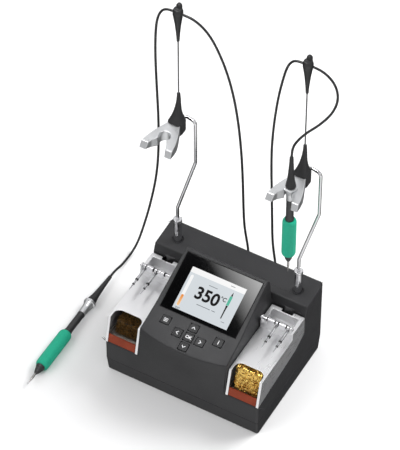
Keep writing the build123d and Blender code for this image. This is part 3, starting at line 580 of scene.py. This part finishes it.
def cord_curve(name, route, bevel):
    """Curve object on one NURBS spline with the route's points as its control points."""
    data = bpy.data.curves.new(name, "CURVE")
    data.dimensions = "3D"
    data.resolution_u = 8
    data.bevel_depth = bevel
    data.bevel_resolution = 4
    data.use_fill_caps = True
    spline = data.splines.new("NURBS")
    spline.points.add(len(route) - 1)
    for point, place in zip(spline.points, route):
        point.co = (*place, 1)
    spline.order_u = 3
    spline.use_endpoint_u = True
    holder = bpy.data.objects.new(name, data)
    bpy.context.scene.collection.objects.link(holder)
    bpy.context.view_layer.update()
    return holder


def mesh_of(holder):
    """Mesh that a curve object gives. The object is removed."""
    mesh = bpy.data.meshes.new_from_object(holder.evaluated_get(bpy.context.evaluated_depsgraph_get()))
    bpy.data.objects.remove(holder)
    return mesh


def cord(node):
    """One cord as a tube on its smooth line between its two ends; the tube rides on no body."""
    route = CORD_ROUTES[node]
    line = mesh_of(cord_curve(node + "_line", route, 0.0))
    tube = mesh_of(cord_curve(node + "_tube", route, CORD_D / 2))
    tube.materials.clear()
    shade(tube, 50)
    piece = add_piece(node + "_shown", tube, materials["cord_jacket"], None, [node])
    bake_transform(piece)


# ---- housing -----------------------------------------------------------------------------------
def outline_edge(mid):
    """Edges of the housing's outside, but not those of its openings or of its inside."""
    x, y, z = np.abs(mid[:, 0]), mid[:, 1], mid[:, 2]
    above_seam = z > 24
    side = (x > 98.4) & above_seam
    front = (y < -74.5) & (x < 99) & above_seam
    rear = (y > 74.5) & (z > 104)
    console = (x > 51.5) & (x < 57.4) & (y < 34) & (z > 55)
    crest = (y > 27) & (y < 38) & (z > 100) & (x < 57)
    step = (y > 30) & (y < 38) & (z > 94) & (x > 56)
    return side | front | rear | console | crest | step


def build_housing():
    rounded_copy("upper_shell", 0.25, 3, 14, outline_edge, 1.5)
    rounded_copy("lower_tray", 0.25, 3, 30)
    for node in ("rubber_feet", "case_screws", "lcd_module", "circuit_boards", "transformer"):
        rounded_copy(node, 0.25, 2)
    for node in ("rear_panel", "mains_inlet", "switch_frame", "power_rocker", "earth_jack"):
        rounded_copy(node, 0.4, 3)
    rounded_copy("tool_sockets", 0.5, 3)
    rounded_copy("display_glass", 0.35, 3)


def build_plugs():
    """Each cord's round plug, with a collar and a stepped strain relief."""
    made = {}
    for side, sign in SIDES.items():
        socket = Matrix.Translation(Vector((sign * 18.0, 79.8, 46.0)) * MM)
        place = socket @ Matrix.Rotation(math.radians(-90), 4, "X")
        ribs = []
        for i in range(4):
            z = 9.4 + 1.9 * i
            r = 3.1 - 0.24 * i
            ribs += [(r, z), (r, z + 1.1), (r - 0.55, z + 1.2), (r - 0.55, z + 1.8)]
        outline = [(0, 0), (6.6, 0), (6.6, 1.6), (6.1, 1.9), (6.1, 5.9), (6.6, 6.2), (6.6, 7.6),
                   (5.6, 8.8)] + ribs
        outline += [(2.1, 17.0), (2.1, 17.35), (0, 17.35)]
        mesh = lathe(f"plug_{side}", outline, place, 40, 0.25)
        made[side] = add_piece(f"plug_{side}", mesh, materials["black_rubber"], "base",
                               ["cord_plugs"])
    return made


# ---- keys and display -------------------------------------------------------------------------
KEY_PLACES = {"menu": (-33.7, 8.3), "info": (33.7, 8.3), "up": (0, 12.3), "down": (0, -12.3), "left": (-14.5, 0),
              "ok": (0, 0), "right": (14.5, 0)}
SYMBOL_DEPTH = 0.61


def chevron(turn, size=2.05, width=0.85):
    """Arrow head of two strokes, turned by quarter turns."""
    points = np.array([(-size, -0.55 * size), (0, 0.55 * size), (size, -0.55 * size)])
    c, s = math.cos(turn * math.pi / 2), math.sin(turn * math.pi / 2)
    return stroke(points @ np.array([[c, s], [-s, c]]), width)


def build_keys():
    for label, (x, u) in KEY_PLACES.items():
        body = f"button_{label}"
        rounded_copy(f"button_{label}", 0.35, 3)
        if label in ("ok", "info"):
            text = "OK" if label == "ok" else "i"
            words(f"symbol_{label}", text, 5.2 if label == "ok" else 7.2, x, u, KEY_FRAME, SYMBOL_DEPTH, symbol_ink,
                  body, 0.14)
            continue
        if label == "menu":
            shapes = [rectangle(-2.5, 2.5, h - 0.36, h + 0.36) for h in (-1.6, 0, 1.6)]
        else:
            shapes = [chevron({"up": 0, "left": 1, "down": 2, "right": 3}[label])]
        shapes = [shape + np.array([x, u]) for shape in shapes]
        plates(f"symbol_{label}", shapes, KEY_FRAME, SYMBOL_DEPTH, 0.02, symbol_ink, body)


def build_display():
    """The picture on the display: title bar, field, reading, power bar and a drawing of the tool."""
    body, slot, depth = "base", "display_glass", 0.31

    def layer(name, shapes, level, ink):
        plates(f"picture_{name}", shapes, GLASS_FRAME, depth + 0.02 * level, 0.015, picture[ink], body)

    layer("title", [rectangle(-34.7, 34.7, 14.8, 21.3)], 0, "white")
    layer("field", [rectangle(-34.7, 34.7, -30.7, 14.8)], 0, "field")
    layer("power_track", [rectangle(-32.0, -28.4, -27.0, 12.3, 1.7)], 1, "white")
    layer("power_level", [rectangle(-31.8, -28.6, -26.6, -12.6, 1.5)], 2, "orange")
    bars = [rectangle(-32.5, -26.0, -29.0, -28.4), rectangle(-31.5, -27.0, -30.2, -29.7)]
    bars += [rectangle(-7.5, 3.5, 8.2, 8.9), rectangle(-10.5, 6.5, -17.4, -16.6)]
    bars += [rectangle(8.5, 13.0, -17.4, -16.6)]
    bars += [rectangle(16.0, 21.5, 17.6, 18.3), rectangle(24.2, 28.6, -24.4, -23.8)]
    layer("small_lines", bars, 1, "grey")
    tool = [np.array([(21.2, 7.0), (23.4, 7.0), (23.0, 9.6), (22.4, 12.2), (21.7, 9.6)])]
    layer("tool_nose", tool, 1, "black")
    layer("tool_grip", [rectangle(20.7, 23.9, -4.6, 6.8, 0.5)], 1, "green")
    stem = [np.array([(21.0, -4.8), (23.6, -4.8), (23.2, -8.0), (22.9, -21.0), (21.7, -21.0), (21.4, -8.0)])]
    layer("tool_stem", stem, 1, "black")
    words("picture_reading", "350", 20.0, -3.2, -4.8, GLASS_FRAME, depth + 0.035, picture["black"],
          body, 0.58)
    words("picture_unit", "°C", 6.8, 15.4, 0.0, GLASS_FRAME, depth + 0.035, picture["black"], body,
          0.14)


# ---- stands --------------------------------------------------------------------------------------
def build_stands():
    for side in SIDES:
        rounded_copy(f"stand_cover_{side}", 0.34, 3, 24)
        rounded_copy(f"stand_cup_{side}", 0.2, 2)
        rounded_copy(f"stand_lip_{side}", 0.45, 3)
        rounded_copy(f"spare_rack_{side}", 0.15, 2)
        build_rack_sleeves(side)
        build_spare_tips(side)


AXLE_Y, AXLE_Z, SPARE_Z = 3.5, 102.6, 98.6
SPARE_X = (78.2, 92.4)


def folded_strip(outline, x_low, x_high, name):
    """Sheet folded along X: a closed (y, z) outline in mm carried from x_low to x_high, with rounded folds."""
    ring = softened(list(outline) + [outline[0]], 0.5, 4)[:-1]
    x = np.array([x_low, x_low + 0.12, x_high - 0.12, x_high])[:, None]
    middle = ring.mean(axis=0)
    draw_in = np.array([0.94, 1.0, 1.0, 0.94])[:, None]
    y = middle[0] + (ring[:, 0] - middle[0])[None, :] * draw_in
    z = middle[1] + (ring[:, 1] - middle[1])[None, :] * draw_in
    points = np.stack([x + 0 * y, y, z], axis=-1)
    faces = [list(f) for f in grid_faces(4, len(ring), True)]
    faces += [list(range(len(ring)))[::-1], [3 * len(ring) + i for i in range(len(ring))]]
    return clean_mesh(name, points * MM, faces, 35)


def build_rack_sleeves(side):
    """Bright folded sleeves over the axle, with a black ring at each end of them."""
    sign = SIDES[side]
    hood = [(-3.3, -4.6), (-2.9, 1.6), (-1.2, 2.9), (1.4, 2.9), (2.9, 1.4), (2.9, -0.6), (2.3, -0.6), (2.2, 1.0),
            (1.1, 2.3), (-0.9, 2.3), (-2.3, 1.2), (-2.7, -4.6)]
    outline = [(AXLE_Y + y, AXLE_Z + z) for y, z in hood]
    for label, (low, high) in {"inner": (67.0, 75.4), "outer": (81.4, 89.6)}.items():
        ends = sorted((sign * low, sign * high))
        name = f"rack_sleeve_{label}_{side}"
        sleeve = folded_strip(outline, ends[0], ends[1], name)
        add_piece(name, sleeve, materials["polished_steel"], f"rack_{side}")
        for tag, x in (("low", low - 0.9), ("high", high + 0.9)):
            name = f"rack_ring_{label}_{tag}_{side}"
            axle = Matrix.Translation(Vector((sign * x, AXLE_Y, AXLE_Z)) * MM)
            place = axle @ Matrix.Rotation(math.pi / 2, 4, "Y")
            section = [(1.05, -0.6), (2.6, -0.6), (2.6, 0.6), (1.05, 0.6), (1.05, -0.6)]
            ring = lathe(name, section, place, 32, 0.3)
            add_piece(name, ring, materials["black_plastic"], f"rack_{side}")


def build_spare_tips(side):
    """Spare heating tips: a bright barrel, black rings and a thin plated end, pointing to the front."""
    sign = SIDES[side]
    for number, x in enumerate(SPARE_X):
        hanger = Matrix.Translation(Vector((sign * x, AXLE_Y, SPARE_Z)) * MM)
        place = hanger @ Matrix.Rotation(math.pi / 2, 4, "X")
        steel = [(0, -1.4), (1.6, -1.4), (1.6, 17.8), (1.1, 18.0), (1.1, 26.0), (0.9, 27.2), (0.25, 36.2),
                 (0, 36.4)]
        name = f"spare_tip_{number}_{side}"
        replaced = [f"spare_tips_{side}"]
        add_piece(name, lathe(name, steel, place, 32, 0.2), materials["spare_tip"], f"rack_{side}",
                  replaced)
        for ring, (r, low, high) in enumerate([(2.0, 17.9, 19.9), (1.75, 0.6, 1.8), (1.5, 26.0, 27.4)]):
            name = f"spare_tip_ring_{number}_{ring}_{side}"
            outline = [(0.8, low), (r, low), (r, high), (0.8, high), (0.8, low)]
            add_piece(name, lathe(name, outline, place, 32, 0.2), materials["black_plastic"], f"rack_{side}")


def wool_front(z):
    """How far forward the cleaning wool reaches at height z: a little behind the stand's sloped front."""
    return -77.0 + (z - 50.4) * 0.2306 + 6.0 + np.maximum(z - 76.0, 0.0) ** 2 * 0.09


def surface_spots(count, x_low, x_high):
    """Random spots just under the wool's sloped front and its top, as x, y, z in mm."""
    along = random.uniform(0, 1, count)
    front = along < 0.72
    z = np.where(front, 59.0 + along / 0.72 * 23.5, 82.5)
    y = np.where(front, wool_front(z), wool_front(82.5) + (along - 0.72) / 0.28 * 12.0)
    sunk = random.uniform(0, 2.6, count)
    y = y + np.where(front, sunk, 0)
    z = z - np.where(front, 0, sunk)
    return np.column_stack([random.uniform(x_low, x_high, count), y, z])


def random_frames(count):
    """For each of count items, three unit vectors at right angles in random directions."""
    a = random.normal(size=(count, 3))
    a /= np.linalg.norm(a, axis=1)[:, None]
    b = np.cross(a, random.normal(size=(count, 3)))
    b /= np.linalg.norm(b, axis=1)[:, None]
    return a, b, np.cross(a, b)


CORE_FLOOR_Z, CORE_REAR_Y, CORE_DEPTH, CORE_WAVE = 58.2, -26.0, 26.0, 0.5


def wool_shade_core(node, across, behind, top_z, steps=40):
    """Painted shade inside the wool: a dark sheet that rises behind the curls' front and turns back at top_z.

    It is closed behind. Its height waves by sines of place, so that no flat face shows between the curls."""
    x = np.linspace(across[0], across[1], steps)[None, :]
    rise = np.linspace(CORE_FLOOR_Z, top_z, steps)
    back = np.linspace(0, CORE_DEPTH, steps)[1:]
    y = np.concatenate([wool_front(rise) + behind, wool_front(top_z) + behind + back])[:, None]
    z = np.concatenate([rise, np.full(len(back), top_z)])[:, None]
    wave = CORE_WAVE * np.sin(2.1 * x + 0.9 * z) * np.cos(1.7 * z - 1.3 * y)
    front = np.stack([x + 0 * z, y + wave, z + CORE_WAVE * wave], axis=-1)
    rear = np.stack([x[0], np.full(steps, CORE_REAR_Y), np.full(steps, CORE_FLOOR_Z)], axis=-1)
    rows = len(front)
    points = np.concatenate([front.reshape(-1, 3), rear])
    faces = [list(f) for f in grid_faces(rows, steps, False)]
    last, low_back = (rows - 1) * steps, rows * steps
    faces += [[last + i, last + i + 1, low_back + i + 1, low_back + i] for i in range(steps - 1)]
    faces += [[low_back + i, low_back + i + 1, i + 1, i] for i in range(steps - 1)]
    for side in (0, steps - 1):
        faces.append([r * steps + side for r in range(rows)] + [low_back + side])
    mesh = clean_mesh(node + "_core", points * MM, faces, 60)
    # The dark sheet is painted shade behind and between the curls or bristles.
    add_piece(node + "_core", mesh, wool_shade, body_of[node], [node])


def build_wool():
    """Curled brass ribbon, flat in section.

    Each curl is centre + r (cos t u + sin t v) + axis (pitch t + half width)."""
    count, steps = 560, 22
    spots = surface_spots(count, 64.6, 92.6)
    axis, u, v = random_frames(count)
    radius = random.uniform(1.2, 3.0, count)[:, None, None]
    turns = random.uniform(0.7, 1.7, count)[:, None] * np.linspace(0, 2 * np.pi, steps)[None, :]
    pitch = random.uniform(0.15, 0.45, count)[:, None] * turns
    half_width, half_thick = 0.62, 0.06
    section = np.array([(-half_width, -half_thick), (half_width, -half_thick), (half_width, half_thick),
                        (-half_width, half_thick)])
    ray = np.cos(turns)[..., None] * u[:, None] + np.sin(turns)[..., None] * v[:, None]
    centre = spots[:, None] + radius * ray + axis[:, None] * pitch[..., None]
    points = (centre[:, :, None] + axis[:, None, None] * section[None, None, :, 0, None]
              + ray[:, :, None] * section[None, None, :, 1, None])
    points[..., 1] = np.maximum(points[..., 1], wool_front(points[..., 2]) - 1.6)
    points[..., 2] = np.minimum(points[..., 2], 84.4)
    one = np.vstack([grid_faces(steps, 4, True), [[3, 2, 1, 0]], np.arange(4)[None] + 4 * (steps - 1)])
    faces = (one[None] + (np.arange(count) * steps * 4)[:, None, None]).reshape(-1, 4)
    mesh = bpy.data.meshes.new("brass_curls")
    mesh.from_pydata((points.reshape(-1, 3) * MM).tolist(), [], faces.tolist())
    shade(mesh, 50)
    add_piece("brass_curls", mesh, materials["brass_wool"], "stand_right")
    # The dark core is painted shade behind and between the curls.
    wool_shade_core("brass_wool_right", (63.4, 92.2), 3.4, 79.0)


def build_brush():
    """Bronze brush: thin three-sided cones that lean every way out of a dark bed of painted shade."""
    count = 5200
    spots = surface_spots(count, -91.5, -62.6)
    spots[:, 1] += 3.6
    spots[:, 2] = 58.0 + (spots[:, 2] - 58.0) * 0.74
    way = np.array([0.0, -0.80, 0.60]) + random.normal(scale=0.42, size=(count, 3))
    way /= np.linalg.norm(way, axis=1)[:, None]
    side = np.cross(way, random.normal(size=(count, 3)))
    side /= np.linalg.norm(side, axis=1)[:, None]
    other = np.cross(way, side)
    t = np.arange(3) * 2 * np.pi / 3
    ring = (np.cos(t)[None, :, None] * side[:, None] + np.sin(t)[None, :, None] * other[:, None])
    base = spots[:, None] - 1.2 * way[:, None] + 0.17 * ring
    length = random.uniform(1.6, 3.2, count)[:, None, None]
    top = spots[:, None] + length * way[:, None] + 0.10 * ring
    top[..., 1] = np.maximum(top[..., 1], wool_front(top[..., 2]) - 1.4)
    top[..., 2] = np.minimum(top[..., 2], 84.4)
    points = np.concatenate([base, top], axis=1)
    one = np.vstack([grid_faces(2, 3, True)])
    faces = (one[None] + (np.arange(count) * 6)[:, None, None]).reshape(-1, 4)
    ends = np.array([[2, 1, 0], [3, 4, 5]])
    caps = (ends[None] + (np.arange(count) * 6)[:, None, None]).reshape(-1, 3)
    mesh = bpy.data.meshes.new("bronze_bristles")
    mesh.from_pydata((points.reshape(-1, 3) * MM).tolist(), [], faces.tolist() + caps.tolist())
    shade(mesh, 80)
    add_piece("bronze_bristles", mesh, materials["bronze_brush"], "stand_left")
    # The dark bed is painted shade under and between the bristles.
    wool_shade_core("wire_brush_left", (-92.2, -63.4), 5.4, 74.0)


# ---- arms -----------------------------------------------------------------------------------------
def build_arms():
    for side in SIDES:
        rounded_copy(f"post_{side}", 0.35, 3)
        rounded_copy(f"arm_rod_{side}", 0.2, 2)
        cast_copy(f"holder_fork_{side}", 0.42, 9)
        cast_copy(f"fork_boot_{side}", 0.38, 12)
        rounded_copy(f"guide_wire_{side}", 0.0)
        cast_copy(f"cord_clip_{side}", 0.34, 8)


# ---- tools ----------------------------------------------------------------------------------------
TOOL_PLACES = {
    "left": Matrix.Translation(Vector((-162.0, -6.5, 7.9)) * MM) @ Matrix.Rotation(math.radians(-90), 4, "X"),
    "right": Matrix.Translation(Vector((77.8, 26.0, 308.65)) * MM)}


def build_tools():
    """Each tool's pieces as turned shapes, from the rim's top face at z 0 down to the tip."""
    grip_top, grip_end = -53.0, -110.0
    outlines = {
        "boot": ([(0, 0.05), (6.0, 0.05), (5.4, 4.0), (4.4, 9.0), (3.7, 16.0), (3.0, 27.0), (2.5, 36.0), (2.15, 45.9),
                  (0, 45.9)], 1.2),
        "sleeve": ([(0, -20), (4.6, -20), (4.75, -10.5), (6.15, -3.6), (6.35, -3.0), (7.4, -3.0), (7.4, 0), (0, 0)], 0.5),
        "barrel": ([(0, grip_end - 12.0), (1.7, grip_end - 12.0), (2.1, grip_end - 10.4), (2.9, grip_end - 9.8),
                    (3.1, grip_end - 7.6), (3.9, grip_end - 7.0), (4.2, grip_end - 4.0), (5.0, grip_end - 3.2),
                    (5.5, grip_end - 0.2), (4.4, grip_end + 0.4), (4.3, grip_top + 0.2), (4.9, grip_top + 0.6),
                    (4.9, grip_top + 3.0), (4.3, grip_top + 3.6), (4.3, -23.4), (4.55, -23.0), (4.55, -20.05),
                    (0, -20.05)], 0.3),
        "grip": ([(4.35, grip_end + 0.1), (6.6, grip_end), (7.9, grip_end + 2.6), (7.95, grip_end + 20), (7.9, grip_top - 3.2),
                  (6.2, grip_top), (4.35, grip_top - 0.1)], 1.8),
        "tip": ([(0, grip_end - 30), (0.25, grip_end - 30), (0.5, grip_end - 27.0), (1.3, grip_end - 19.5),
                 (1.3, grip_end - 12.0), (0, grip_end - 12.0)], 0.6)}
    for side, place in TOOL_PLACES.items():
        for part, (outline, radius) in outlines.items():
            node = f"tool_{part}_{side}"
            points = outline + [outline[0]] if part == "grip" else outline
            mesh = lathe(node + "_shown", points, place, 56, radius)
            add_piece(node + "_shown", mesh, materials[slot_of[node]], f"tool_{side}", [node])


# ---- floor and light ---------------------------------------------------------------------------------
def build_floor():
    mesh = bpy.data.meshes.new("floor")
    half = 6.0
    corners = [(-half, -half, 0), (half, -half, 0), (half, half, 0), (-half, half, 0)]
    mesh.from_pydata(corners, [], [(0, 1, 2, 3)])
    floor = bpy.data.objects.new("floor", mesh)
    floor.location.z = -0.0002
    floor.visible_glossy = False
    bpy.context.scene.collection.objects.link(floor)
    mesh.materials.append(finish("floor_paint", (0.93, 0.93, 0.93), (0.92, 0.92, 0.92), (0.85, 0.95), 200.0, 3.0, 0.0))


def area_light(name, place, aim, size, power):
    data = bpy.data.lights.new(name, "AREA")
    data.shape = "RECTANGLE"
    data.size, data.size_y = size
    data.energy = power
    light = bpy.data.objects.new(name, data)
    light.location = place
    light.visible_glossy = False
    light.rotation_mode = "QUATERNION"
    light.rotation_quaternion = (Vector(aim) - Vector(place)).to_track_quat("-Z", "Y")
    bpy.context.scene.collection.objects.link(light)


def build_sky():
    """Studio surroundings, bright all round above and, below, bright in front and dark behind.

    Polished parts then show a light middle between dark edges. Straight overhead it is dark."""
    world = bpy.data.worlds.new("studio")
    bpy.context.scene.world = world
    world.use_nodes = True
    tree = world.node_tree
    place = tree.nodes.new("ShaderNodeTexCoord").outputs["Generated"]
    apart = tree.nodes.new("ShaderNodeSeparateXYZ")
    tree.links.new(place, apart.inputs["Vector"])
    ramp = tree.nodes.new("ShaderNodeValToRGB")
    stops = [(0.0, 0.42), (0.10, 0.30), (0.40, 0.95), (0.76, 1.0), (0.86, 0.45), (1.0, 0.12)]
    while len(ramp.color_ramp.elements) < len(stops):
        ramp.color_ramp.elements.new(0.5)
    for element, (where, level) in zip(ramp.color_ramp.elements, stops):
        element.position = where
        element.color = (level, level, level * 1.01, 1)
    tree.links.new(remap(tree, apart.outputs["Z"], 0.0, 1.0, 0.0, 1.0), ramp.inputs["Fac"])
    forward = tree.nodes.new("ShaderNodeVectorMath")
    forward.operation = "DOT_PRODUCT"
    tree.links.new(place, forward.inputs[0])
    forward.inputs[1].default_value = (0.49, -0.87, 0.0)
    below = tree.nodes.new("ShaderNodeValToRGB")
    for element, (where, level) in zip(below.color_ramp.elements, [(0.50, 0.05), (0.80, 1.10)]):
        element.position = where
        element.color = (level, level, level, 1)
    tree.links.new(remap(tree, forward.outputs["Value"], -1.0, 1.0, 0.0, 1.0), below.inputs["Fac"])
    share = remap(tree, apart.outputs["Z"], -0.06, 0.02, 0.0, 1.0)
    background = tree.nodes["Background"]
    tree.links.new(mix_colours(tree, share, below.outputs["Color"], ramp.outputs["Color"]),
                   background.inputs["Color"])
    background.inputs["Strength"].default_value = 0.9


CARD_Z = 0.75


def build_sheen_card():
    """Card that only glossy surfaces see.

    Its light fades across it, for the sheen on one corner of the glass."""
    mesh = bpy.data.meshes.new("sheen_card")
    corners = [(-0.40, -0.40), (0.0, -0.40), (0.0, 0.12), (-0.40, 0.12)]
    mesh.from_pydata([(x, y, CARD_Z) for x, y in corners], [], [(0, 1, 2, 3)])
    card = bpy.data.objects.new("sheen_card", mesh)
    bpy.context.scene.collection.objects.link(card)
    card.visible_camera = False
    card.visible_diffuse = False
    card.visible_shadow = False
    card.visible_transmission = False
    material, tree, shader, place = blank_material("card_light")
    slope = tree.nodes.new("ShaderNodeVectorMath")
    slope.operation = "DOT_PRODUCT"
    tree.links.new(place, slope.inputs[0])
    slope.inputs[1].default_value = (12.0, 14.0, 0.0)
    share = remap(tree, slope.outputs["Value"], -4.39, -3.42, 0.0, 1.0)
    light = tree.nodes.new("ShaderNodeCombineColor")
    for channel in ("Red", "Green", "Blue"):
        tree.links.new(share, light.inputs[channel])
    tree.links.new(light.outputs["Color"], shader.inputs["Emission Color"])
    shader.inputs["Emission Strength"].default_value = 7.0
    shader.inputs["Base Color"].default_value = (0, 0, 0, 1)
    mesh.materials.append(material)


def build_light():
    build_sky()
    build_sheen_card()
    area_light("key_light", (0.75, 0.95, 1.35), (0, 0, 0.05), (0.9, 0.9), 26)
    area_light("fill_light", (-0.9, -1.3, 1.7), (0, 0, 0.1), (1.4, 1.4), 16)
    bpy.context.scene.view_settings.view_transform = "Standard"


# ---- the station ---------------------------------------------------------------------------------------
add_camera()
build_floor()
build_light()
plugs = build_plugs()
cord("cord_rear_left")
cord("cord_rear_right")
cord("cord_tool_left")
cord("cord_tool_right")
build_housing()
build_keys()
build_display()
build_stands()
build_wool()
build_brush()
build_arms()
build_tools()
